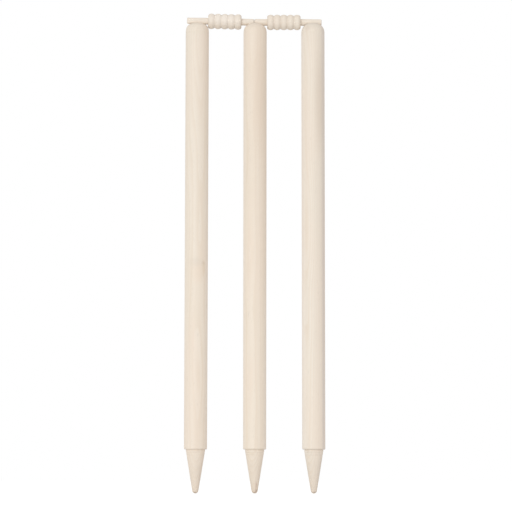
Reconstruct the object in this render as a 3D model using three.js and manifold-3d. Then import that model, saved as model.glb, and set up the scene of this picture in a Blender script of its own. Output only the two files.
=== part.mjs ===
// Cricket stumps: a wicket of three turned wooden stumps with two turned wooden bails across their tops.
// Units are millimetres. +Z is up, +X runs along the wicket and +Y away from the viewer.
// The origin is on the middle stump's axis, level with its shoulder, which is the line of the ground.
import * as THREE from "three";
import { mergeVertices, toCreasedNormals } from "three/addons/utils/BufferGeometryUtils.js";
import Module from "manifold-3d";

const wasm = await Module();
wasm.setup();

// The wicket
const stumpSpacing = 96.8; // from one stump's axis to the next
const stumpHeight = 711.2; // ground line to the crown of the dome

// Body of a stump
const crownDiameter = 38.8; // just under the dome
const footDiameter = 37.8; // just above the foot's chamfer
const domeHeight = 18;
const domeSquareness = 2.5; // 2 is a plain ellipse, more is squarer at the corner

// Foot of a stump
const footChamferWidth = 0.8;
const footChamferHeight = 1.2;
const shoulderWidth = 2.05; // flat ring from the chamfer to the spike's root
const neckDepth = 0.6; // narrow groove turned into the spike right under the shoulder
const neckHeight = 1.4;
const neckSlopeHeight = 0.5; // its top slopes out to the flat ring

// Spike
const spikeLength = 71.4; // ground line to the tip
const noseRadius = 5.2;
const ringSpacing = 4; // two faint turned rings near the root
const ringCount = 2;
const ringWidth = 1.2;
const ringDepth = 0.35;

// Bail
const spigotDiameter = 11.4; // where a spigot leaves the barrel
const longSpigotTipDiameter = 10.4; // the long spigot tapers to this
const spigotChamfer = 0.9;
const shortSpigotReach = 1.9; // how much longer it is than a stump's radius
const longSpigotReach = 15.9;
const barrelPlay = 2.2; // how much shorter the barrel is than the space between two stumps
const barrelEndDrop = 0.8; // the end beads are turned down this much further at the barrel's ends
const beadDiameter = 25.8;
const beadCount = 5;
const seamDepth = 2.2; // from the crown of a bead to the bottom of the seam
const bailEndGap = 0.6; // between the two bails over the middle stump
const bailMeetingPlace = -1.4; // where their ends meet, along X from the middle stump's axis

// Bail grooves, measured down from the crown of each dome
const grooveDepth = 4.6;
const leftGrooveDepth = 1.8; // shallower, so the left bail slopes
const seatClearance = 0.3; // between a spigot and its groove
const cutOverrun = 4; // how far a cutter runs past what it cuts

// Finish
const stumpColour = 0xe9dac4;
const bailColour = 0xebddc9;
const woodRoughness = 0.62;
const woodMetalness = 0;
const creaseAngle = Math.PI / 7;

// Fineness of the curved faces
const stumpSides = 48;
const bailSides = 36;
const domeSteps = 8;
const grooveSteps = 20;
const noseSteps = 5;
const beadSteps = 6;

// Sizes that follow
const spikeRootRadius = footDiameter / 2 - footChamferWidth - shoulderWidth;
const spikeTaper = (spikeRootRadius - noseRadius) / (spikeLength - noseRadius);
const grooveRadius = spigotDiameter / 2 + seatClearance;
const barrelLength = stumpSpacing - crownDiameter - barrelPlay;
const shortSpigotLength = crownDiameter / 2 + shortSpigotReach;
const longSpigotLength = crownDiameter / 2 + longSpigotReach;
const seatHeight = stumpHeight - grooveDepth + grooveRadius; // axis of a level bail
const leftSeatHeight = stumpHeight - leftGrooveDepth + grooveRadius;
const leftBailRun = stumpSpacing + bailMeetingPlace - bailEndGap / 2; // inner end to the left stump's axis
const leftBailTilt = Math.atan2(leftSeatHeight - seatHeight, leftBailRun);

// A closed mesh as a solid that can be cut.
function solidFrom(geometry) {
  const bare = geometry.clone();
  bare.deleteAttribute("normal");
  bare.deleteAttribute("uv");
  const merged = mergeVertices(bare);
  return new wasm.Manifold(
    new wasm.Mesh({
      numProp: 3,
      vertProperties: new Float32Array(merged.attributes.position.array),
      triVerts: new Uint32Array(merged.index.array),
    }),
  );
}

// A solid as a geometry, smooth along its curves and sharp at its edges.
function geometryFrom(solid) {
  const mesh = solid.getMesh();
  const geometry = new THREE.BufferGeometry();
  geometry.setAttribute("position", new THREE.BufferAttribute(mesh.vertProperties, 3));
  geometry.setIndex(new THREE.BufferAttribute(mesh.triVerts, 1));
  return toCreasedNormals(geometry, creaseAngle);
}

// Turns an outline of [radius, height] points, listed from the bottom up, about the Z axis.
function turned(outline, sides) {
  const points = outline.map(([radius, height]) => new THREE.Vector2(radius, height));
  return new THREE.LatheGeometry(points, sides).rotateX(Math.PI / 2);
}

// Round nose of the spike, from its tip up to where it runs into the cone.
function noseOutline() {
  const slope = Math.atan(spikeTaper);
  const centre = noseRadius - spikeLength;
  const points = [];
  for (let i = 0; i <= noseSteps; i += 1) {
    const turn = (i / noseSteps) * (Math.PI / 2 - slope);
    points.push([noseRadius * Math.sin(turn), centre - noseRadius * Math.cos(turn)]);
  }
  return points;
}

// Faint V-shaped rings turned into the spike below its root.
function ringOutline() {
  const coneRadius = (height) => spikeRootRadius + height * spikeTaper;
  const points = [];
  for (let ring = ringCount; ring > 0; ring -= 1) {
    const middle = -neckHeight - ring * ringSpacing;
    const low = middle - ringWidth / 2;
    const high = middle + ringWidth / 2;
    points.push([coneRadius(low), low], [coneRadius(middle) - ringDepth, middle], [coneRadius(high), high]);
  }
  points.push([coneRadius(-neckHeight), -neckHeight]);
  return points;
}

// Foot: the neck under the shoulder, the flat shoulder that meets the ground, and its chamfer.
function footOutline() {
  return [
    [spikeRootRadius - neckDepth, -neckHeight],
    [spikeRootRadius - neckDepth, -neckSlopeHeight],
    [spikeRootRadius, 0],
    [footDiameter / 2 - footChamferWidth, 0],
    [footDiameter / 2, footChamferHeight],
  ];
}

// Dome: a quarter of a squarish ellipse from the side of the body to the crown.
function domeOutline() {
  const base = stumpHeight - domeHeight;
  const points = [];
  for (let i = 0; i <= domeSteps; i += 1) {
    const turn = ((domeSteps - i) / domeSteps) * (Math.PI / 2);
    const out = Math.sin(turn) ** (2 / domeSquareness);
    const up = i > 0 ? Math.cos(turn) ** (2 / domeSquareness) : 0;
    points.push([(crownDiameter / 2) * out, base + domeHeight * up]);
  }
  return points;
}

// Cutter for a bail groove: a round floor with straight sides up past the crown, along the X axis.
function grooveCutter() {
  const section = new THREE.Shape();
  section.absarc(0, 0, grooveRadius, Math.PI, 2 * Math.PI);
  section.lineTo(grooveRadius, grooveRadius + cutOverrun);
  section.lineTo(-grooveRadius, grooveRadius + cutOverrun);
  section.closePath();
  const length = crownDiameter + 2 * cutOverrun;
  const cutter = new THREE.ExtrudeGeometry(section, {
    depth: length,
    bevelEnabled: false,
    curveSegments: grooveSteps,
  });
  return cutter.translate(0, 0, -length / 2).rotateX(Math.PI / 2).rotateZ(Math.PI / 2);
}

// One stump on the Z axis, with its groove cut along the line of the bail that lies in it.
function stumpGeometry(seat, tilt) {
  const outline = [...noseOutline(), ...ringOutline(), ...footOutline(), ...domeOutline()];
  const cutter = grooveCutter().rotateY(tilt).translate(0, 0, seat);
  return geometryFrom(solidFrom(turned(outline, stumpSides)).subtract(solidFrom(cutter)));
}

// Barrel of a bail: rounded beads with a seam between each two, from the short spigot's side.
function barrelOutline(start) {
  const beadLength = barrelLength / beadCount;
  const steps = beadCount * beadSteps;
  const points = [];
  for (let i = 0; i <= steps; i += 1) {
    const across = (2 * (i % beadSteps)) / beadSteps - 1;
    const drop = i === 0 || i === steps ? barrelEndDrop : 0;
    const radius = beadDiameter / 2 - seamDepth * across * across - drop;
    points.push([radius, start + (beadLength * i) / beadSteps]);
  }
  return points;
}

// One bail along +X, with the end of its short spigot at zero.
function bailGeometry() {
  const spigot = spigotDiameter / 2;
  const tip = longSpigotTipDiameter / 2;
  const barrelEnd = shortSpigotLength + barrelLength;
  const length = barrelEnd + longSpigotLength;
  const outline = [
    [0, 0],
    [spigot - spigotChamfer, 0],
    [spigot, spigotChamfer],
    [spigot, shortSpigotLength],
    ...barrelOutline(shortSpigotLength),
    [spigot, barrelEnd],
    [tip, length - spigotChamfer],
    [tip - spigotChamfer, length],
    [0, length],
  ];
  return geometryFrom(solidFrom(turned(outline, bailSides).rotateY(Math.PI / 2)));
}

const stumpWood = new THREE.MeshStandardMaterial({
  color: stumpColour,
  roughness: woodRoughness,
  metalness: woodMetalness,
});
const bailWood = new THREE.MeshStandardMaterial({
  color: bailColour,
  roughness: woodRoughness,
  metalness: woodMetalness,
});

function addStump(group, name, place, seat, tilt) {
  const stump = new THREE.Mesh(stumpGeometry(seat, tilt), stumpWood);
  stump.name = name;
  stump.position.x = place;
  group.add(stump);
}

// A bail points along `turn` from where the bails meet, and rises by `tilt` towards its far end.
function addBail(group, name, turn, tilt) {
  const seat = new THREE.Group();
  seat.position.set(bailMeetingPlace, 0, seatHeight);
  seat.rotation.z = turn;
  const bail = new THREE.Mesh(bailGeometry(), bailWood);
  bail.name = name;
  bail.rotation.y = -tilt;
  bail.position.x = bailEndGap / 2;
  seat.add(bail);
  group.add(seat);
}

const wicket = new THREE.Group();
addStump(wicket, "left_stump", -stumpSpacing, leftSeatHeight, leftBailTilt);
addStump(wicket, "middle_stump", 0, seatHeight, 0);
addStump(wicket, "right_stump", stumpSpacing, seatHeight, 0);
addBail(wicket, "left_bail", Math.PI, leftBailTilt);
addBail(wicket, "right_bail", 0, 0);

export default wicket;
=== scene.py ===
# Cricket stumps: three turned stumps and two turned bails of pale ash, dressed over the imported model.
# Metres, with the ground line at zero. The dictionaries of the pieces give sizes in millimetres.
import math

import bpy
from mathutils import Matrix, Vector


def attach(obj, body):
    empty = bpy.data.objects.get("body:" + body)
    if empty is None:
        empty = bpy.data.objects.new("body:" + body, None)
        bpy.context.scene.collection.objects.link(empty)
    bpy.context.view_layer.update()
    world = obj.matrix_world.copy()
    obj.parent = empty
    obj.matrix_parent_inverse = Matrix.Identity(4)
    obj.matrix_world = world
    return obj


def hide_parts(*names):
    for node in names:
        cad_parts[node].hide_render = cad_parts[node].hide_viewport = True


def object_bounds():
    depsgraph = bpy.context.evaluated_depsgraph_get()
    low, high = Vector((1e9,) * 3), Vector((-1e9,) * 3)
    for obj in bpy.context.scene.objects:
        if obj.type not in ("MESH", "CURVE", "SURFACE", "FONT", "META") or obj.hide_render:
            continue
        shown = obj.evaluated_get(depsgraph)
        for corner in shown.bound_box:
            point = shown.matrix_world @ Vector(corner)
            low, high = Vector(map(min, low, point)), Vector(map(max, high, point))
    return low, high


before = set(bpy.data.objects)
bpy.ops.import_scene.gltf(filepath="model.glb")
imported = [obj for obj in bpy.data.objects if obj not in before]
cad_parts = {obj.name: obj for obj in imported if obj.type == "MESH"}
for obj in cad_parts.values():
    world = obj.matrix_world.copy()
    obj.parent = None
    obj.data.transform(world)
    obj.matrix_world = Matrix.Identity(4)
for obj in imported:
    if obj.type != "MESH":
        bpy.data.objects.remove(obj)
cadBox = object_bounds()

mm = 0.001

print("stage 1: tools for building objects and node trees")

# Where nodes are laid out in the node editor
nodesInRow = 10
nodeWidth = 220
nodeHeight = 300


def addObject(name, data):
    thing = bpy.data.objects.new(name, data)
    bpy.context.scene.collection.objects.link(thing)
    return thing


def turnAbout(axis, degrees):
    return Matrix.Rotation(math.radians(degrees), 4, axis)


def colour(red, green, blue):
    # screen colour, 0 to 255, as the linear colour that the nodes take, by the sRGB curve
    parts = []
    for value in (red, green, blue):
        share = value / 255
        parts.append(share / 12.92 if share <= 0.04045 else ((share + 0.055) / 1.055) ** 2.4)
    return (*parts, 1)


def inMetres(lengths):
    return [length * mm for length in lengths]


def emptyTree(owner):
    # the node tree of a material or a world, without the nodes that it starts with
    owner.use_nodes = True
    owner.node_tree.nodes.clear()
    return owner.node_tree


def addNode(group, kind, sockets=None, **settings):
    # a socket takes a plain value or another node's output, and nodes are laid out in rows
    node = group.nodes.new(kind)
    for name, value in settings.items():
        setattr(node, name, value)
    for key, value in (sockets or {}).items():
        if isinstance(value, bpy.types.NodeSocket):
            group.links.new(value, node.inputs[key])
        else:
            node.inputs[key].default_value = value
    row, column = divmod(len(group.nodes) - 1, nodesInRow)
    node.location = (nodeWidth * column, -nodeHeight * row)
    return node


def resultOf(group, kind, sockets=None, output=0, **settings):
    # one output of a new node
    return addNode(group, kind, sockets, **settings).outputs[output]


def startGroup(name, treeKind, inputs, outputs):
    # inputs are (label, socket kind, value) and outputs are (label, socket kind)
    group = bpy.data.node_groups.new(name, treeKind + "NodeTree")
    for label, kind, value in inputs:
        socket = group.interface.new_socket(label, in_out="INPUT", socket_type="NodeSocket" + kind)
        if value is not None:
            socket.default_value = value
    for label, kind in outputs:
        group.interface.new_socket(label, in_out="OUTPUT", socket_type="NodeSocket" + kind)
    return group, addNode(group, "NodeGroupInput").outputs


def finishGroup(group, results):
    addNode(group, "NodeGroupOutput", results)
    return group


def useGroup(group, inner, sockets):
    kind = "GeometryNodeGroup" if group.type == "GEOMETRY" else "ShaderNodeGroup"
    return addNode(group, kind, sockets, node_tree=inner)


def calc(group, operation, *values):
    return resultOf(group, "ShaderNodeMath", dict(enumerate(values)), operation=operation)


def wholeCalc(group, operation, *values):
    return resultOf(group, "FunctionNodeIntegerMath", dict(enumerate(values)), operation=operation)


def vectorCalc(group, operation, *values):
    return resultOf(group, "ShaderNodeVectorMath", dict(enumerate(values)), operation=operation)


def measured(group, operation, *vectors):
    # LENGTH of one vector, or DISTANCE between two
    sockets = dict(enumerate(vectors))
    return resultOf(group, "ShaderNodeVectorMath", sockets, output=1, operation=operation)


def scaled(group, vector, factor):
    return resultOf(group, "ShaderNodeVectorMath", {0: vector, "Scale": factor}, operation="SCALE")


def split(group, vector):
    return addNode(group, "ShaderNodeSeparateXYZ", {0: vector}).outputs


def squared(group, value):
    return calc(group, "MULTIPLY", value, value)


def opposite(group, share):
    # 0 becomes 1 and 1 becomes 0
    return calc(group, "SUBTRACT", 1, share)


def ease(group, value, low, high):
    # rises smoothly from 0 at low to 1 at high
    sockets = {"Value": value, "From Min": low, "From Max": high}
    return resultOf(group, "ShaderNodeMapRange", sockets, interpolation_type="SMOOTHSTEP")


def mixColour(group, amount, first, second):
    # a Mix node's sockets 6 and 7 are the colours, which share their names with others
    sockets = {0: amount, 6: first, 7: second}
    return resultOf(group, "ShaderNodeMix", sockets, output=2, data_type="RGBA")


def noiseAt(group, place, scale, detail, roughness=0.5):
    sockets = {"Vector": place, "Scale": scale, "Detail": detail, "Roughness": roughness}
    return resultOf(group, "ShaderNodeTexNoise", sockets)


def noiseAlong(group, length, scale, detail):
    sockets = {"W": length, "Scale": scale, "Detail": detail}
    return resultOf(group, "ShaderNodeTexNoise", sockets, noise_dimensions="1D")


def swayed(group, value, noise, reach):
    # moves a value up to half of reach either way
    return calc(group, "MULTIPLY_ADD", calc(group, "SUBTRACT", noise, 0.5), reach, value)


print("stage 2: lathe and cutting tools")

# Settings of the lathe and its cutters, with lengths in millimetres
weldDistance = 0.002  # joins the two edges of a turned sheet, and its points on the axis
barrelMargin = 0.01  # how far past the barrel's ends a point of the outline still counts as barrel
wallSteepness = 8  # how far a groove's side rises for each millimetre outwards, over its round floor

# What the lathe and each cutter take, and their values before a piece sets them
latheInputs = [
    ("Outline", "Geometry", None),
    ("Sides", "Int", 128),
]
ringInputs = [
    ("First Ring", "Float", 0),
    ("Ring Spacing", "Float", 4 * mm),
    ("Ring Count", "Int", 2),
    ("Ring Width", "Float", mm),
    ("Ring Depth", "Float", 0.3 * mm),
]
beadInputs = [
    ("Barrel Start", "Float", 21 * mm),
    ("Barrel Length", "Float", 56 * mm),
    ("Barrel Radius", "Float", 13 * mm),
    ("Bead Count", "Int", 5),
    ("Seam Depth", "Float", 2 * mm),
    ("End Drop", "Float", mm),
    ("End Drop Length", "Float", 2 * mm),
]
grooveInputs = [
    ("Seat Height", "Float", 0.7),
    ("Groove Radius", "Float", 5 * mm),
    ("Rise", "Float", 0),
    ("Lip Softness", "Float", 0.5 * mm),
]
dentInputs = [
    ("Dent Place", "Vector", (0, 0, 0)),
    ("Dent Radius", "Float", mm),
    ("Dent Depth", "Float", 0),
]
placeInputs = [
    ("Place", "Vector", (0, 0, 0)),
    ("Turn", "Rotation", (0, 0, 0)),
    ("Wood", "Material", None),
]


def startCutter(name, shape, inputs):
    # a group that takes a shape and its sizes, and gives the shape back
    return startGroup(name, "Geometry", [(shape, "Geometry", None), *inputs], [(shape, "Geometry")])


def movePoints(group, shape, **how):
    return resultOf(group, "GeometryNodeSetPosition", {"Geometry": shape, **how})


def shiftAcross(group, outline, distance):
    # moves an outline away from the axis, or towards it where the distance is negative
    offset = resultOf(group, "ShaderNodeCombineXYZ", {"X": distance})
    return movePoints(group, outline, Offset=offset)


def makeLathe():
    # turns a chain of outline points, listed from the bottom up, about the Z axis
    outputs = [("Turning", "Geometry")]
    group, given = startGroup("turnOnLathe", "Geometry", latheInputs, outputs)
    counted = {0: given["Outline"]}
    rows = resultOf(group, "GeometryNodeAttributeDomainSize", counted, output="Point Count")
    columns = wholeCalc(group, "ADD", given["Sides"], 1)
    grid = {"Vertices X": columns, "Vertices Y": rows}
    sheet = resultOf(group, "GeometryNodeMeshGrid", grid, output="Mesh")
    index = resultOf(group, "GeometryNodeInputIndex")
    row = wholeCalc(group, "MODULO", index, rows)
    column = wholeCalc(group, "DIVIDE_FLOOR", index, rows)
    place = resultOf(group, "GeometryNodeInputPosition")
    sampled = {"Geometry": given["Outline"], "Value": place, "Index": row}
    sample = resultOf(group, "GeometryNodeSampleIndex", sampled, data_type="FLOAT_VECTOR")
    angle = calc(group, "MULTIPLY", calc(group, "DIVIDE", column, given["Sides"]), math.tau)
    swing = {"Vector": sample, "Angle": angle}
    swung = resultOf(group, "ShaderNodeVectorRotate", swing, rotation_type="Z_AXIS")
    welded = {"Geometry": movePoints(group, sheet, Position=swung), "Distance": weldDistance * mm}
    closed = resultOf(group, "GeometryNodeMergeByDistance", welded)
    return finishGroup(group, {"Turning": closed})


def makeRingCutter():
    # shallow rings cut into the outline, evenly spaced from the first one down
    group, given = startCutter("cutRings", "Outline", ringInputs)
    height = split(group, resultOf(group, "GeometryNodeInputPosition"))["Z"]
    below = calc(group, "SUBTRACT", given["First Ring"], height)
    number = calc(group, "ROUND", calc(group, "DIVIDE", below, given["Ring Spacing"]))
    last = calc(group, "SUBTRACT", given["Ring Count"], 1)
    number = calc(group, "MAXIMUM", calc(group, "MINIMUM", number, last), 0)
    middle = calc(group, "MULTIPLY", number, given["Ring Spacing"])
    away = calc(group, "ABSOLUTE", calc(group, "SUBTRACT", below, middle))
    halfWidth = calc(group, "MULTIPLY", given["Ring Width"], 0.5)
    flank = ease(group, calc(group, "DIVIDE", away, halfWidth), 0, 1)
    depth = calc(group, "MULTIPLY", opposite(group, flank), given["Ring Depth"])
    cut = shiftAcross(group, given["Outline"], calc(group, "MULTIPLY", depth, -1))
    return finishGroup(group, {"Outline": cut})


def makeBeadCutter():
    # beads cut side by side along the plain barrel of the outline, and turned down further at its two ends
    group, given = startCutter("cutBeads", "Outline", beadInputs)
    point = split(group, resultOf(group, "GeometryNodeInputPosition"))
    along = calc(group, "SUBTRACT", point["Z"], given["Barrel Start"])
    beads = calc(group, "DIVIDE", along, given["Barrel Length"])
    beads = calc(group, "MULTIPLY", beads, given["Bead Count"])
    across = calc(group, "MULTIPLY_ADD", calc(group, "FRACT", beads), 2, -1)
    dip = calc(group, "MULTIPLY", squared(group, across), given["Seam Depth"])
    fromFar = calc(group, "SUBTRACT", given["Barrel Length"], along)
    fromEnd = calc(group, "MINIMUM", along, fromFar)
    nearness = opposite(group, calc(group, "DIVIDE", fromEnd, given["End Drop Length"]))
    nearness = calc(group, "MAXIMUM", nearness, 0)
    drop = calc(group, "MULTIPLY", squared(group, nearness), given["End Drop"])
    turned = calc(group, "SUBTRACT", given["Barrel Radius"], calc(group, "ADD", dip, drop))
    # the cutter takes wood away and never adds any, and it leaves the spigots alone
    cut = calc(group, "MINIMUM", calc(group, "SUBTRACT", turned, point["X"]), 0)
    inside = calc(group, "GREATER_THAN", fromEnd, -barrelMargin * mm)
    beaded = shiftAcross(group, given["Outline"], calc(group, "MULTIPLY", cut, inside))
    return finishGroup(group, {"Outline": beaded})


def makeGrooveCutter():
    # round-bottomed groove across a domed top, along X, with its lips softened by sanding
    group, given = startCutter("cutGroove", "Turning", grooveInputs)
    point = split(group, resultOf(group, "GeometryNodeInputPosition"))
    axis = calc(group, "MULTIPLY_ADD", point["X"], given["Rise"], given["Seat Height"])
    aside = calc(group, "ABSOLUTE", point["Y"])
    radius = given["Groove Radius"]
    square = calc(group, "SUBTRACT", squared(group, radius), squared(group, aside))
    drop = calc(group, "SQRT", calc(group, "MAXIMUM", square, 0))
    beyond = calc(group, "MAXIMUM", calc(group, "SUBTRACT", aside, radius), 0)
    wall = calc(group, "MULTIPLY", beyond, wallSteepness)
    floor = calc(group, "ADD", calc(group, "SUBTRACT", axis, drop), wall)
    height = calc(group, "SMOOTH_MIN", point["Z"], floor, given["Lip Softness"])
    place = {"X": point["X"], "Y": point["Y"], "Z": height}
    cut = resultOf(group, "ShaderNodeCombineXYZ", place)
    return finishGroup(group, {"Turning": movePoints(group, given["Turning"], Position=cut)})


def makeDentPress():
    # one shallow knock in the surface
    group, given = startCutter("pressDent", "Turning", dentInputs)
    place = resultOf(group, "GeometryNodeInputPosition")
    gap = measured(group, "DISTANCE", place, given["Dent Place"])
    share = ease(group, calc(group, "DIVIDE", gap, given["Dent Radius"]), 0, 1)
    depth = calc(group, "MULTIPLY", calc(group, "SUBTRACT", share, 1), given["Dent Depth"])
    offset = scaled(group, resultOf(group, "GeometryNodeInputNormal"), depth)
    return finishGroup(group, {"Turning": movePoints(group, given["Turning"], Offset=offset)})


turnOnLathe = makeLathe()
cutRings = makeRingCutter()
cutBeads = makeBeadCutter()
cutGroove = makeGrooveCutter()
pressDent = makeDentPress()


def sameLabel(label):
    return label


def domeLabel(label):
    # "Ring Depth" as "Dome Ring Depth", for the rings on a dome
    return label.replace("Ring", "Dome Ring")


def passOn(given, inputs, rename=sameLabel):
    # the inputs of a piece's tree that go on to a cutter inside it
    return {label: given[rename(label)] for label, kind, value in inputs}


def startTurning(name, cutterInputs):
    inputs = [*latheInputs, *cutterInputs, *placeInputs]
    return startGroup(name, "Geometry", inputs, [("Piece", "Geometry")])


def finishTurning(tree, shape, given):
    # puts the turned piece in its place and gives it its wood
    placing = {0: shape, "Translation": given["Place"], "Rotation": given["Turn"]}
    placed = resultOf(tree, "GeometryNodeTransform", placing)
    smooth = resultOf(tree, "GeometryNodeSetShadeSmooth", {0: placed})
    real = resultOf(tree, "GeometryNodeRealizeInstances", {0: smooth})
    wooden = resultOf(tree, "GeometryNodeSetMaterial", {0: real, "Material": given["Wood"]})
    return finishGroup(tree, {"Piece": wooden})


def makeStumpTurning():
    domeRingInputs = [(domeLabel(label), kind, value) for label, kind, value in ringInputs]
    allInputs = [*ringInputs, *domeRingInputs, *grooveInputs, *dentInputs]
    tree, given = startTurning("stumpTurning", allInputs)
    shape = given["Outline"]
    for rename in (sameLabel, domeLabel):
        rings = passOn(given, ringInputs, rename)
        shape = useGroup(tree, cutRings, {"Outline": shape, **rings}).outputs[0]
    shape = useGroup(tree, turnOnLathe, {"Outline": shape, "Sides": given["Sides"]}).outputs[0]
    for cutter, inputs in ((cutGroove, grooveInputs), (pressDent, dentInputs)):
        shape = useGroup(tree, cutter, {"Turning": shape, **passOn(given, inputs)}).outputs[0]
    return finishTurning(tree, shape, given)


def makeBailTurning():
    tree, given = startTurning("bailTurning", beadInputs)
    beads = passOn(given, beadInputs)
    beaded = useGroup(tree, cutBeads, {"Outline": given["Outline"], **beads}).outputs[0]
    turned = useGroup(tree, turnOnLathe, {"Outline": beaded, "Sides": given["Sides"]}).outputs[0]
    return finishTurning(tree, turned, given)


stumpTurning = makeStumpTurning()
bailTurning = makeBailTurning()

print("stage 3: outlines")


def softened(corners, steps=5, most=0.45):
    # corners are (radius, height, softness) in millimetres, and each becomes a small curve that takes
    # at most the share "most" of the lines beside it
    points = []
    for i, (radius, height, softness) in enumerate(corners):
        if softness == 0 or i in (0, len(corners) - 1):
            points.append((radius, height))
            continue
        ends = []
        for other in (corners[i - 1], corners[i + 1]):
            length = math.hypot(other[0] - radius, other[1] - height)
            share = min(softness, most * length) / length
            ends.append((radius + (other[0] - radius) * share, height + (other[1] - height) * share))
        curve = (ends[0], (radius, height), ends[1])
        for step in range(steps + 1):
            t = step / steps
            weights = ((1 - t) ** 2, 2 * t * (1 - t), t * t)
            points.append(tuple(sum(w * p[k] for w, p in zip(weights, curve)) for k in range(2)))
    return points


def evenly(points, spacing):
    # the same line with its points at even distances
    lengths = [0]
    for a, b in zip(points, points[1:]):
        lengths.append(lengths[-1] + math.dist(a, b))
    count = max(1, round(lengths[-1] / spacing))
    even = []
    k = 0
    for i in range(count + 1):
        goal = lengths[-1] * i / count
        while k < len(points) - 2 and lengths[k + 1] < goal:
            k += 1
        share = (goal - lengths[k]) / (lengths[k + 1] - lengths[k])
        even.append(tuple(points[k][j] + (points[k + 1][j] - points[k][j]) * share for j in range(2)))
    return even


def guarded(points, guard=0.25, longest=30):
    # long stretches get a point near each end, so that shading stays flat on them, and more between
    result = [points[0]]
    for a, b in zip(points, points[1:]):
        length = math.dist(a, b)
        shares = []
        if length > 4 * guard:
            inner = math.ceil((length - 2 * guard) / longest)
            shares = [(guard + (length - 2 * guard) * i / inner) / length for i in range(inner + 1)]
        result += [(a[0] + (b[0] - a[0]) * s, a[1] + (b[1] - a[1]) * s) for s in shares]
        result.append(b)
    return result


# Stump: the shape that the three share. A softness is how far sanding rounds a corner
stumpShape = {
    "spacing": 96.8,
    "height": 711.2,
    "crownDiameter": 38.8,
    "footDiameter": 37.8,
    "domeHeight": 18,
    "domeSteps": 600,  # of its curve, before the points are spaced evenly
    "domePointSpacing": 0.3,
    "domeRingDrop": 8.8,  # of the first faint ring on the dome, under its crown
    "domeRingSpacing": 4.4,
    "domeRingCount": 3,
    "domeRingWidth": 1.6,
    "bodyStart": 10,  # the body's first point lies this high over the chamfer
    "bodySwell": 0.01,  # and this far outside its edge
    "footChamferWidth": 0.8,
    "footChamferHeight": 1.2,
    "chamferSoftness": 0.5,
    "shoulderWidth": 2.05,
    "shoulderSoftness": 0.3,
    "neckDepth": 0.6,
    "neckHeight": 1.4,
    "neckSlopeHeight": 0.5,
    "neckSoftness": 0.15,
    "spikeLength": 71.4,
    "noseRadius": 5.2,
    "noseSteps": 18,
    "ringMargin": 0.3,  # plain wood between the neck and the ringed stretch
    "ringSpacing": 4,
    "ringCount": 2,
    "ringWidth": 1.2,
    "ringDepth": 0.35,
    "ringPointSpacing": 0.14,
    "grooveRadius": 6,
    "lipSoftness": 3.5,
    "sides": 256,
}

# Bail: the shape that the two share
bailShape = {
    "spigotDiameter": 11.4,
    "longSpigotTipDiameter": 10.4,
    "spigotChamfer": 0.9,
    "chamferSoftness": 0.6,
    "tipSoftness": 0.5,
    "innerRound": 3,  # of the short spigots' ends, where the two bails meet
    "rootSoftness": 0.3,  # where a spigot meets the barrel
    "shortSpigot": 21.5,
    "longSpigot": 35.3,
    "barrelLength": 55.8,
    "barrelFace": 3.5,  # flat ring round the spigot at each end of the barrel
    "beadDiameter": 25.8,
    "beadCount": 5,
    "beadSteps": 50,
    "seamDepth": 2.2,
    "endDrop": 0.8,
    "endDropLength": 1.9,
    "endGap": 0.2,  # between the ends of the two bails
    "meetingPlace": -1.4,  # of those ends, from the middle stump's axis
    "sides": 144,
}


def noseOutline(taper):
    # round nose of the spike, from its tip up to where it runs into the cone
    s = stumpShape
    centre = s["noseRadius"] - s["spikeLength"]
    turnEnd = math.pi / 2 - math.atan(taper)
    points = []
    for i in range(s["noseSteps"] + 1):
        turn = turnEnd * i / s["noseSteps"]
        points.append((s["noseRadius"] * math.sin(turn), centre - s["noseRadius"] * math.cos(turn)))
    return points


def footOutline(start, rootRadius, taper):
    # neck under the shoulder, the flat shoulder and its chamfer, up to the body's first point
    s = stumpShape
    neck = rootRadius - s["neckDepth"]
    foot = s["footDiameter"] / 2
    return softened(
        [
            (*start, 0),
            (rootRadius - s["neckHeight"] * taper, -s["neckHeight"], s["neckSoftness"]),
            (neck, -s["neckHeight"], s["neckSoftness"]),
            (neck, -s["neckSlopeHeight"], s["neckSoftness"]),
            (rootRadius, 0, s["neckSoftness"]),
            (foot - s["footChamferWidth"], 0, s["shoulderSoftness"]),
            (foot, s["footChamferHeight"], s["chamferSoftness"]),
            (foot + s["bodySwell"], s["footChamferHeight"] + s["bodyStart"], 0),
        ]
    )


def domeOutline(settings):
    # a quarter of a squarish ellipse, from the side of the body to the crown
    s = stumpShape
    base = s["height"] - s["domeHeight"]
    domeHeight = s["domeHeight"] - settings["crownDrop"]
    power = 2 / settings["domeSquareness"]
    points = []
    for i in range(s["domeSteps"] + 1):
        turn = math.pi / 2 * (1 - i / s["domeSteps"])
        radius = s["crownDiameter"] / 2 * math.sin(turn) ** power
        points.append((radius, base + domeHeight * max(math.cos(turn), 0) ** power))
    return evenly(points, s["domePointSpacing"])


def stumpOutline(settings):
    s = stumpShape
    rootRadius = s["footDiameter"] / 2 - s["footChamferWidth"] - s["shoulderWidth"]
    taper = (rootRadius - s["noseRadius"]) / (s["spikeLength"] - s["noseRadius"])
    ringTop = -s["neckHeight"] - s["ringMargin"]
    ringBottom = -s["neckHeight"] - s["ringSpacing"] * s["ringCount"] - s["ringWidth"]
    stretch = [(rootRadius + z * taper, z) for z in (ringBottom, ringTop)]
    ringed = evenly(stretch, s["ringPointSpacing"])
    foot = footOutline(ringed[-1], rootRadius, taper)
    return guarded([*noseOutline(taper), *ringed, *foot[1:], *domeOutline(settings)])


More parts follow.
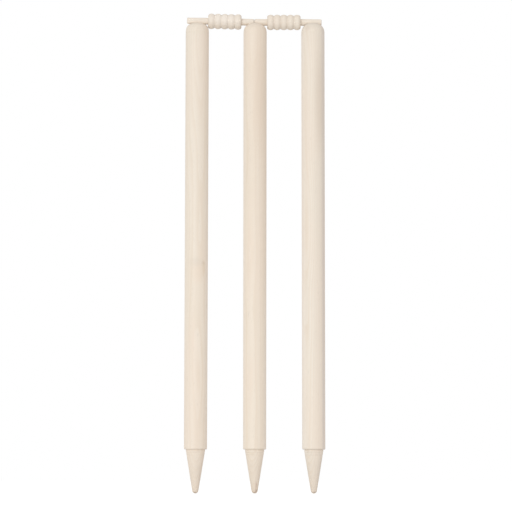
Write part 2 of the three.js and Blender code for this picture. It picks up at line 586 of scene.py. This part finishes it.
def bailOutline():
    # the two spigots, with a plain barrel between them for the bead cutter
    s = bailShape
    spigot = s["spigotDiameter"] / 2
    tip = s["longSpigotTipDiameter"] / 2
    face = spigot + s["barrelFace"]
    start = s["shortSpigot"]
    end = start + s["barrelLength"]
    length = end + s["longSpigot"]
    steps = s["beadCount"] * s["beadSteps"]
    barrel = [(s["beadDiameter"] / 2, start + s["barrelLength"] * i / steps) for i in range(steps + 1)]
    low = softened(
        [
            (0, 0, 0),
            (spigot, 0, s["innerRound"]),
            (spigot, start, s["rootSoftness"]),
            (face, start, 0),
        ]
    )
    high = softened(
        [
            (face, end, 0),
            (spigot, end, s["rootSoftness"]),
            (tip, length - s["spigotChamfer"], s["chamferSoftness"]),
            (tip - s["spigotChamfer"], length, s["tipSoftness"]),
            (0, length, 0),
        ]
    )
    return [*guarded(low), *barrel, *guarded(high)]


print("stage 4: wood")

# How the grain is drawn. A noise with a small squash is drawn out far along the wood. Edges are where
# a tone begins and where it is full, and reaches are in millimetres
grainDrawing = {
    "seedSteps": (0.137, 0.271, 0.419),  # moves each piece's wood to its own part of the noise
    "wander": {"squash": 0.16, "scale": 15, "detail": 2},
    "wanderReach": 20,
    "waver": {"squash": 0.07, "scale": 130, "detail": 2},
    "waverReach": 1.3,
    "years": {"scale": 90, "detail": 1},  # narrow and wide growth rings
    "yearsReach": 5,
    "earlyEdges": (0.05, 0.4),
    "lateEdges": (0.3, 0.9),
    "winterEdges": (0.93, 1),
    "warm": {"squash": 0.22, "scale": 24, "detail": 1},
    "warmEdges": (0.42, 0.68),
    "fibre": {"squash": 0.018, "scale": 1300, "detail": 3, "roughness": 0.6},
    "streak": {"squash": 0.006, "scale": 230, "detail": 1},
    "streakShare": 0.8,
    "evenLight": 0.9,  # fibre and streaks together, where they neither lighten nor darken
    "poreSquash": 0.05,
    "poreScale": 1250,
    "poreEdges": (0.1, 0.24),
    "latePores": 0.15,  # share of the pores that late wood keeps
    "endGrainPower": 1.1,
    "plainRoughness": 0.5,
    "roughness": {"fibre": 0.1, "pore": 0.12, "endGrain": 0.12, "late": -0.04},
    "relief": {"fibre": 0.35, "pore": -1, "late": 0.3},
}


def makeTurnedWood():
    # ash, pale and straight grained, with the grain along Z of the given vector
    group, given = startGroup(
        "turnedWood",
        "Shader",
        [
            ("Vector", "Vector", (0, 0, 0)),
            ("Normal", "Vector", (0, 0, 0)),
            ("Pale Wood", "Color", (0.8, 0.8, 0.8, 1)),
            ("Late Wood", "Color", (0.7, 0.7, 0.7, 1)),
            ("Warm Wood", "Color", (0.8, 0.7, 0.6, 1)),
            ("Pith", "Vector", (0, 0, 0)),
            ("Ring Spacing", "Float", 2 * mm),
            ("Ring Strength", "Float", 0.5),
            ("Ring Shift", "Float", 0),
            ("Warm Share", "Float", 0.5),
            ("Fibre Strength", "Float", 0.04),
            ("Pore Strength", "Float", 0.2),
            ("End Grain Strength", "Float", 0.05),
            ("Seed", "Float", 0),
        ],
        [("Color", "Color"), ("Roughness", "Float"), ("Height", "Float")],
    )
    look = grainDrawing
    seed = vectorCalc(group, "MULTIPLY", given["Seed"], look["seedSteps"])

    def drawnOut(squash):
        drawn = vectorCalc(group, "MULTIPLY", given["Vector"], (1, 1, squash))
        return vectorCalc(group, "ADD", drawn, seed)

    def noise(squash, **fineness):
        return noiseAt(group, drawnOut(squash), **fineness)

    # growth rings about a pith well to one side of the piece, wandering along it
    aside = vectorCalc(group, "SUBTRACT", given["Vector"], given["Pith"])
    distance = measured(group, "LENGTH", vectorCalc(group, "MULTIPLY", aside, (1, 1, 0)))
    distance = swayed(group, distance, noise(**look["wander"]), look["wanderReach"] * mm)
    distance = swayed(group, distance, noise(**look["waver"]), look["waverReach"] * mm)
    distance = calc(group, "ADD", distance, given["Ring Shift"])
    years = noiseAlong(group, distance, **look["years"])
    distance = swayed(group, distance, years, look["yearsReach"] * mm)
    season = calc(group, "FRACT", calc(group, "DIVIDE", distance, given["Ring Spacing"]))
    winter = ease(group, season, *look["winterEdges"])
    late = calc(group, "MULTIPLY", ease(group, season, *look["lateEdges"]), opposite(group, winter))
    early = opposite(group, ease(group, season, *look["earlyEdges"]))
    ringTone = calc(group, "MULTIPLY", late, given["Ring Strength"])
    shade = mixColour(group, ringTone, given["Pale Wood"], given["Late Wood"])

    # broad warmer patches
    warm = ease(group, noise(**look["warm"]), *look["warmEdges"])
    warm = calc(group, "MULTIPLY", warm, given["Warm Share"])
    shade = mixColour(group, warm, shade, given["Warm Wood"])

    # fibres and faint streaks
    fibre = noise(**look["fibre"])
    light = calc(group, "MULTIPLY_ADD", noise(**look["streak"]), look["streakShare"], fibre)
    light = calc(group, "SUBTRACT", light, look["evenLight"])
    light = calc(group, "MULTIPLY", light, given["Fibre Strength"])

    # open pores, most of them in the early wood
    cells = {"Vector": drawnOut(look["poreSquash"]), "Scale": look["poreScale"]}
    gap = resultOf(group, "ShaderNodeTexVoronoi", cells, output="Distance")
    pore = opposite(group, ease(group, gap, *look["poreEdges"]))
    porous = calc(group, "MULTIPLY_ADD", early, 1 - look["latePores"], look["latePores"])
    pore = calc(group, "MULTIPLY", pore, porous)

    # cut across the grain, wood drinks more light and is rougher
    across = calc(group, "ABSOLUTE", split(group, given["Normal"])["Z"])
    endGrain = calc(group, "POWER", across, look["endGrainPower"])
    dark = calc(group, "MULTIPLY", pore, given["Pore Strength"])
    dark = calc(group, "MULTIPLY_ADD", endGrain, given["End Grain Strength"], dark)
    shade = scaled(group, shade, calc(group, "SUBTRACT", calc(group, "ADD", light, 1), dark))

    def summed(start, weights):
        # start, and each part of the wood times its weight
        parts = {"fibre": fibre, "pore": pore, "endGrain": endGrain, "late": late}
        total = start
        for name, weight in weights.items():
            total = calc(group, "MULTIPLY_ADD", parts[name], weight, total)
        return total

    rough = summed(look["plainRoughness"], look["roughness"])
    relief = summed(0, look["relief"])
    return finishGroup(group, {"Color": shade, "Roughness": rough, "Height": relief})


markDrawing = {
    "drift": {"scale": 160, "detail": 2},  # the rings' distances change along the piece
    "patches": {"scale": 70, "detail": 2},  # and they show in some places only
    "patchEdges": (0.4, 0.7),
}


def makeLatheMarks():
    # fine rings that the tool and the sandpaper leave round a turned piece
    inputs = [
        ("Vector", "Vector", (0, 0, 0)),
        ("Pitch", "Float", 0.5 * mm),
        ("Unevenness", "Float", 1),
    ]
    group, given = startGroup("latheMarks", "Shader", inputs, [("Height", "Float")])
    along = split(group, given["Vector"])["Z"]
    drift = noiseAlong(group, along, **markDrawing["drift"])
    turns = calc(group, "DIVIDE", along, given["Pitch"])
    turns = calc(group, "MULTIPLY_ADD", drift, given["Unevenness"], turns)
    wave = calc(group, "SINE", calc(group, "MULTIPLY", turns, math.tau))
    places = noiseAt(group, given["Vector"], **markDrawing["patches"])
    shown = ease(group, places, *markDrawing["patchEdges"])
    return finishGroup(group, {"Height": calc(group, "MULTIPLY", wave, shown)})


patchDrawing = {
    "ragged": {"scale": 400, "detail": 2},
    "raggedReach": 0.5,  # as a share of the patch's size
    "edges": (0.2, 1),
}


def makeSoftPatch():
    # soft-edged oval about a place, with half sizes along X, Y and Z
    inputs = [
        ("Vector", "Vector", (0, 0, 0)),
        ("Patch Place", "Vector", (0, 0, 0)),
        ("Patch Size", "Vector", (mm, mm, mm)),
    ]
    group, given = startGroup("softPatch", "Shader", inputs, [("Mask", "Float")])
    away = vectorCalc(group, "SUBTRACT", given["Vector"], given["Patch Place"])
    away = vectorCalc(group, "DIVIDE", away, given["Patch Size"])
    ragged = noiseAt(group, given["Vector"], **patchDrawing["ragged"])
    distance = swayed(group, measured(group, "LENGTH", away), ragged, patchDrawing["raggedReach"])
    return finishGroup(group, {"Mask": opposite(group, ease(group, distance, *patchDrawing["edges"]))})


turnedWood = makeTurnedWood()
latheMarks = makeLatheMarks()
softPatch = makeSoftPatch()


def patch(place, size, tone, strength, ringPull=0):
    # a place with another tone, in the piece's own lathe; a pull bends the growth rings round it, and only
    # one patch of a piece has one
    return {"place": place, "size": size, "tone": tone, "strength": strength, "ringPull": ringPull}


def woodMaterial(name, place, turn, wood):
    # wood of one piece: the Mapping nodes bring the pattern into the piece's own lathe
    material = bpy.data.materials.new(name)
    tree = emptyTree(material)
    coordinates = addNode(tree, "ShaderNodeTexCoord").outputs
    seat = {"Vector": coordinates["Object"], "Location": place, "Rotation": turn}
    lathe = resultOf(tree, "ShaderNodeMapping", seat, vector_type="TEXTURE")
    heading = {"Vector": coordinates["Normal"], "Rotation": turn}
    facing = resultOf(tree, "ShaderNodeMapping", heading, vector_type="TEXTURE")
    grain = useGroup(
        tree,
        turnedWood,
        {
            "Vector": lathe,
            "Normal": facing,
            "Pale Wood": colour(*wood["pale"]),
            "Late Wood": colour(*wood["late"]),
            "Warm Wood": colour(*wood["warm"]),
            "Pith": inMetres(wood["pith"]),
            "Ring Spacing": wood["ringSpacing"] * mm,
            "Ring Strength": wood["ringStrength"],
            "Warm Share": wood["warmShare"],
            "Fibre Strength": wood["fibreStrength"],
            "Pore Strength": wood["poreStrength"],
            "End Grain Strength": wood["endGrainStrength"],
            "Seed": wood["seed"],
        },
    )
    shade = grain.outputs["Color"]
    for spot in wood["patches"]:
        oval = {"Patch Place": inMetres(spot["place"]), "Patch Size": inMetres(spot["size"])}
        mask = useGroup(tree, softPatch, {"Vector": lathe, **oval}).outputs["Mask"]
        amount = calc(tree, "MULTIPLY", mask, spot["strength"])
        shade = mixColour(tree, amount, shade, colour(*spot["tone"]))
        if spot["ringPull"]:
            pull = calc(tree, "MULTIPLY", mask, spot["ringPull"] * mm)
            tree.links.new(pull, grain.inputs["Ring Shift"])
    turning = {"Pitch": wood["markPitch"] * mm, "Unevenness": wood["markUnevenness"]}
    marks = useGroup(tree, latheMarks, {"Vector": lathe, **turning}).outputs["Height"]
    relief = calc(tree, "MULTIPLY_ADD", marks, wood["markStrength"], grain.outputs["Height"])
    raised = {"Height": relief, "Strength": 1, "Distance": wood["relief"] * mm}
    surface = {
        "Base Color": shade,
        "Roughness": grain.outputs["Roughness"],
        "Normal": resultOf(tree, "ShaderNodeBump", raised),
        "Specular IOR Level": wood["gloss"],
    }
    shader = resultOf(tree, "ShaderNodeBsdfPrincipled", surface)
    addNode(tree, "ShaderNodeOutputMaterial", {"Surface": shader})
    return material


# The wood that all five pieces share, in screen colours
ash = {
    "pale": (239, 227, 211),
    "late": (227, 209, 187),
    "warm": (239, 222, 205),
    "ringSpacing": 2.3,
    "ringStrength": 0.3,
    "warmShare": 0.4,
    "fibreStrength": 0.05,
    "poreStrength": 0.2,
    "endGrainStrength": 0.14,
    "markPitch": 0.55,
    "markUnevenness": 1.5,
    "markStrength": 0.25,
    "relief": 0.05,
    "gloss": 0.35,
    "patches": [],
}

print("stage 5: stumps")


def turnPiece(name, node, body, outline, tree, sizes):
    # runs the outline through the node tree, keeps the plain mesh and puts it in the CAD node's place
    mesh = bpy.data.meshes.new(name + "Outline")
    points = [(radius * mm, 0, height * mm) for radius, height in outline]
    mesh.from_pydata(points, [(i, i + 1) for i in range(len(points) - 1)], [])
    piece = addObject(name, mesh)
    modifier = piece.modifiers.new("turning", "NODES")
    modifier.node_group = tree
    for item in tree.interface.items_tree:
        if item.in_out == "INPUT" and item.name in sizes:
            modifier[item.identifier] = sizes[item.name]
    evaluated = piece.evaluated_get(bpy.context.evaluated_depsgraph_get())
    turned = bpy.data.meshes.new_from_object(evaluated)
    piece.modifiers.remove(modifier)
    piece.data = turned
    bpy.data.meshes.remove(mesh)
    turned.name = name
    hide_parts(node)
    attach(piece, body)
    print("  ", name, len(turned.vertices), "points")


def seatHeight(settings):
    # height over the ground line of the axis of a bail that lies in this stump's groove
    return stumpShape["height"] - settings["grooveDepth"] + stumpShape["grooveRadius"]


def addStump(name, node, settings):
    s = stumpShape
    place = (settings["side"] * s["spacing"] * mm, 0, 0)
    dent = settings["dent"]
    lengths = {
        "First Ring": -s["neckHeight"] - s["ringSpacing"],
        "Ring Spacing": s["ringSpacing"],
        "Ring Width": s["ringWidth"],
        "Ring Depth": s["ringDepth"],
        "First Dome Ring": s["height"] - s["domeRingDrop"],
        "Dome Ring Spacing": s["domeRingSpacing"],
        "Dome Ring Width": s["domeRingWidth"],
        "Dome Ring Depth": settings["domeRingDepth"],
        "Seat Height": seatHeight(settings),
        "Groove Radius": s["grooveRadius"],
        "Lip Softness": s["lipSoftness"],
        "Dent Radius": dent["radius"],
        "Dent Depth": dent["depth"],
    }
    sizes = {
        **{label: length * mm for label, length in lengths.items()},
        "Sides": s["sides"],
        "Ring Count": s["ringCount"],
        "Dome Ring Count": s["domeRingCount"],
        "Rise": -math.tan(math.radians(settings["grooveTilt"])),
        "Dent Place": inMetres(dent["place"]),
        "Place": place,
        "Wood": woodMaterial(name + "Wood", place, (0, 0, 0), {**ash, **settings["wood"]}),
    }
    turnPiece(name, node, node, stumpOutline(settings), stumpTurning, sizes)


# Painted shade that all three share: the tops and the spikes are a little darker than the bodies, and the
# tips darker still
sharedPaintedShade = [
    patch((0, 0, 720), (400, 400, 620), (226, 215, 200), 0.25),
    patch((0, 0, -48), (48, 48, 44), (222, 208, 192), 0.4),
    patch((0, 0, -72.5), (9, 9, 6), (190, 170, 156), 0.5),
]
# painted light that brightens one side of a stump
paintedSideLight = (255, 250, 244)
brownGrain = (226, 208, 186)
noDent = {"place": (0, 0, 0), "radius": 1, "depth": 0}

leftStump = {
    "side": -1,
    "crownDrop": 0.7,  # its top is a little flatter and squarer
    "domeSquareness": 3,
    "domeRingDepth": 0.2,
    "grooveDepth": 2.2,
    "grooveTilt": 1.45,
    "dent": noDent,
    "wood": {
        "pale": (239, 228, 213),
        "pith": (-14, 62, 0),
        "seed": 3,
        "endGrainStrength": 0.09,
        "patches": [
            patch((12.9, -14, 297), (5, 6, 19), (226, 210, 187), 0.6, ringPull=4),  # grain round the knot
            patch((12.2, -14.6, 305), (4.8, 6, 4.6), (212, 194, 170), 0.38),  # the knot
            patch((-1, -19, 306), (19, 14, 14), (226, 214, 199), 0.5),  # darker band beside it
            patch((2, -19, 288), (16, 14, 24), (237, 219, 199), 0.45),  # warm wood under the band
            # painted light on the right side
            patch((17.5, -8, 230), (7, 10, 480), paintedSideLight, 0.2),
            patch((-9, -17, 260), (8, 9, 170), brownGrain, 0.2),
            patch((0, 0, -72), (14, 14, 26), (226, 212, 194), 0.6),  # painted shade on the end of the spike
            *sharedPaintedShade,
        ],
    },
}
middleStump = {
    "side": 0,
    "crownDrop": 0,
    "domeSquareness": 2.4,
    "domeRingDepth": 0.05,
    "grooveDepth": 4.6,
    "grooveTilt": 0,
    "dent": noDent,
    "wood": {
        "pith": (22, 70, 0),
        "seed": 11,
        "endGrainStrength": 0.11,
        "patches": [
            patch((6, -18, 600), (20, 18, 170), (230, 210, 190), 0.6),  # warm upper body
            # painted light on the right side, then on the left side
            patch((17.5, -8, 60), (7, 10, 480), paintedSideLight, 0.2),
            patch((-17.5, -8, 340), (7, 10, 1500), paintedSideLight, 0.15),
            patch((-6, -18, 460), (12, 14, 130), brownGrain, 0.22),
            patch((0, 0, -72), (14, 14, 22), (220, 203, 184), 0.85),  # painted shade on the end of the spike
            patch((2.6, -5.4, -57.5), (3, 4, 8.5), (196, 166, 148), 0.6),  # scuffs near its tip
            patch((2.6, -4.4, -67), (2.2, 4, 4), (172, 144, 130), 0.85),
            *sharedPaintedShade,
        ],
    },
}
rightStump = {
    "side": 1,
    "crownDrop": 0,
    "domeSquareness": 2.4,
    "domeRingDepth": 0.2,
    "grooveDepth": 4.6,
    "grooveTilt": 0,
    "dent": {"place": (-10.9, -15.8, 697.8), "radius": 2, "depth": 0.5},
    "wood": {
        "pale": (237, 227, 213),
        "pith": (38, 36, 0),
        "seed": 19,
        "patches": [
            patch((11, -16, 580), (14, 14, 125), (220, 205, 188), 0.6),  # darker upper body
            patch((-9, -15.5, 699), (8, 8, 7), (222, 206, 192), 0.6),  # round the dent
            patch((19.4, -1, 340), (5, 12, 1500), (198, 184, 176), 0.3),  # painted shade on the right side, greyer
            # painted shade along the right edge
            patch((15.8, -11.2, 340), (4.6, 5.6, 1500), (206, 197, 192), 0.4),
            # painted light on the left side
            patch((-17, -9, 340), (8, 10, 1500), paintedSideLight, 0.3),
            patch((0, 0, -72), (14, 14, 44), (226, 212, 196), 0.75),  # painted shade on the end of the spike
            patch((14, -4, -30), (9, 12, 30), (208, 196, 184), 0.4),  # painted shade on its right side
            *sharedPaintedShade,
        ],
    },
}

addStump("leftStump", "left_stump", leftStump)
addStump("middleStump", "middle_stump", middleStump)
addStump("rightStump", "right_stump", rightStump)

print("stage 6: bails")


def addBail(name, node, settings):
    s = bailShape
    side = 1 if settings["heading"] == 0 else -1
    start = s["meetingPlace"] + side * s["endGap"] / 2
    place = (start * mm, 0, seatHeight(middleStump) * mm)
    turn = (0, math.radians(90 - settings["tilt"]), math.radians(settings["heading"]))
    lengths = {
        "Barrel Start": s["shortSpigot"],
        "Barrel Length": s["barrelLength"],
        "Barrel Radius": s["beadDiameter"] / 2,
        "Seam Depth": s["seamDepth"],
        "End Drop": s["endDrop"],
        "End Drop Length": s["endDropLength"],
    }
    sizes = {
        **{label: length * mm for label, length in lengths.items()},
        "Sides": s["sides"],
        "Bead Count": s["beadCount"],
        "Place": place,
        "Turn": turn,
        "Wood": woodMaterial(name + "Wood", place, turn, {**ash, **settings["wood"]}),
    }
    turnPiece(name, node, node, bailOutline(), bailTurning, sizes)


# A bail's heading is where its long spigot points, and its tilt is that of its outer stump's groove
leftBail = {
    "heading": 180,
    "tilt": leftStump["grooveTilt"],
    "wood": {
        "pale": (238, 228, 215),
        "warm": (238, 223, 208),
        "pith": (30, 22, 0),
        "seed": 29,
        "patches": [
            patch((-3, 11, 50), (14, 12, 34), (247, 239, 229), 0.4),  # paler front of the barrel
            patch((4, 4, 97), (4, 5, 36), (255, 246, 234), 0.7),  # painted light on the lower front of the long spigot, which lies in shade
        ],
    },
}
rightBail = {
    "heading": 0,
    "tilt": rightStump["grooveTilt"],
    "wood": {"pale": (238, 228, 214), "warm": (238, 223, 208), "pith": (-26, 30, 0), "seed": 37},
}

addBail("leftBail", "left_bail", leftBail)
addBail("rightBail", "right_bail", rightBail)

print("stage 7: floor, light and camera")

studio = {
    "floorDrop": 0.4,  # millimetres under the tips; the other lengths here are in metres
    "floorSize": 60,
    "floorGrey": 0.9,
    "floorGlow": 0.4,
    "worldLevel": 0.718,
    "lampDistance": 20,
    "lampSize": 7.5,
    # a level is about the brightness that the lamp gives white paper facing it, and angles are in degrees
    "lamps": [
        {"name": "softbox", "level": 0.33, "heading": -22, "height": 8, "colour": (1, 1, 1)},
        {"name": "warmFill", "level": 0.035, "heading": 75, "height": 8, "colour": (1, 0.62, 0.5)},
    ],
}


def seenShare(tree):
    # 1 for what the camera sees, also in gloss or through glass, and 0 for what only lights the object
    rays = addNode(tree, "ShaderNodeLightPath").outputs
    throughObject = calc(tree, "MAXIMUM", rays["Is Glossy Ray"], rays["Is Transmission Ray"])
    return calc(tree, "MAXIMUM", rays["Is Camera Ray"], throughObject)


def addFloor():
    low = cadBox[0].z - studio["floorDrop"] * mm
    half = studio["floorSize"] / 2
    corners = [(-half, -half, low), (half, -half, low), (half, half, low), (-half, half, low)]
    mesh = bpy.data.meshes.new("floor")
    mesh.from_pydata(corners, [], [(0, 1, 2, 3)])
    floor = addObject("floor", mesh)
    material = bpy.data.materials.new("paleFloor")
    tree = emptyTree(material)
    grey = studio["floorGrey"]
    matt = resultOf(tree, "ShaderNodeBsdfDiffuse", {"Color": (grey, grey, grey, 1)})
    strength = calc(tree, "MULTIPLY", seenShare(tree), studio["floorGlow"])
    glow = resultOf(tree, "ShaderNodeEmission", {"Strength": strength})
    both = resultOf(tree, "ShaderNodeAddShader", {0: matt, 1: glow})
    addNode(tree, "ShaderNodeOutputMaterial", {"Surface": both})
    mesh.materials.append(material)


def addWorld():
    # white where it is seen, and dimmer where it only lights the object
    world = bpy.data.worlds.new("studio")
    bpy.context.scene.world = world
    tree = emptyTree(world)
    level = studio["worldLevel"]
    strength = calc(tree, "MULTIPLY_ADD", seenShare(tree), 1 - level, level)
    back = resultOf(tree, "ShaderNodeBackground", {"Color": (1, 1, 1, 1), "Strength": strength})
    addNode(tree, "ShaderNodeOutputWorld", {"Surface": back})


def addLamp(settings):
    # a soft round lamp that faces the middle of the wicket
    lamp = bpy.data.lights.new(settings["name"], "AREA")
    lamp.shape = "DISK"
    lamp.size = studio["lampSize"]
    lamp.color = settings["colour"]
    distance = studio["lampDistance"]
    lamp.energy = settings["level"] * math.pi ** 2 * distance ** 2
    holder = addObject(settings["name"], lamp)
    middle = (cadBox[0] + cadBox[1]) / 2
    aim = Matrix.Translation(middle) @ turnAbout("Z", settings["heading"])
    lift = turnAbout("X", 90 - settings["height"])
    holder.matrix_world = aim @ lift @ Matrix.Translation((0, 0, distance))


# Metres, degrees and, for the lens and the sensor, millimetres
camera = {
    "distance": 3.3,
    "across": 0.0019,
    "height": 0.3186,
    "pitch": 6.4,
    "roll": 0.063,
    "lens": 140.26,
    "sensorWidth": 36,
    "clipEnd": 200,
}


def addCamera():
    # looks at a point over the middle stump's axis from a little under the ground line
    data = bpy.data.cameras.new("camera")
    data.sensor_width = camera["sensorWidth"]
    data.lens = camera["lens"]
    data.clip_end = camera["clipEnd"]
    eye = addObject("camera", data)
    aim = Matrix.Translation((camera["across"], 0, camera["height"]))
    tip = turnAbout("X", 90 + camera["pitch"])
    roll = turnAbout("Z", camera["roll"])
    eye.matrix_world = aim @ tip @ roll @ Matrix.Translation((0, 0, camera["distance"]))
    bpy.context.scene.camera = eye


addFloor()
addWorld()
for lampSettings in studio["lamps"]:
    addLamp(lampSettings)
addCamera()
bpy.context.scene.view_settings.view_transform = "Standard"
